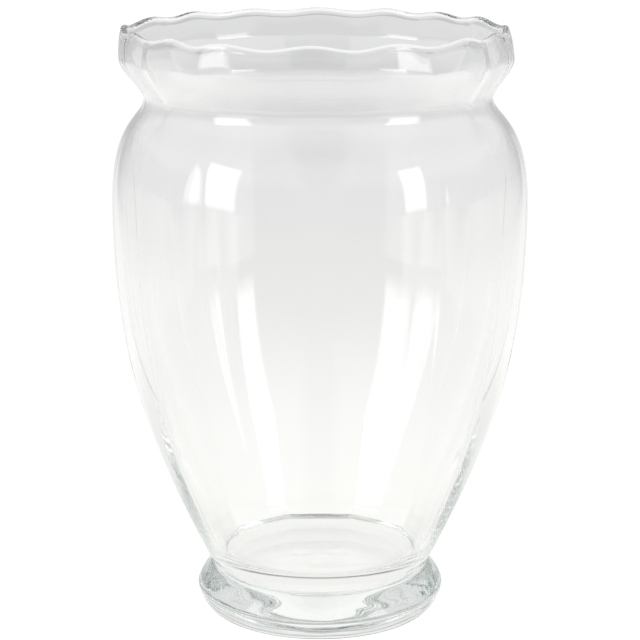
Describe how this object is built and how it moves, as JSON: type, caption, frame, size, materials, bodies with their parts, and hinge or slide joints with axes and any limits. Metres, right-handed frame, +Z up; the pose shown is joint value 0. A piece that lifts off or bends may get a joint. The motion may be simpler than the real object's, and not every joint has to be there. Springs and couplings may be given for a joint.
{
  "type": "glass vase",
  "caption": "Clear glass vase with a softly lobed body, a drawn-in neck, a flared collar with a crimped rim, and a solid applied foot.",
  "frame": {"origin": "middle of the resting face, on the surface that the vase stands on", "axes": "+Z up along the vase's axis, towards the mouth; the picture looks along +Y, with +X to its right"},
  "size_m": [0.2, 0.2, 0.2887],
  "materials": {
    "foot_glass": "fire-polished, clear with a faint green edge",
    "body_glass": "fire-polished, clear"
  },
  "bodies": {
    "root": {"applied_foot": "foot_glass", "blown_body": "body_glass"}
  },
  "joints": []
}
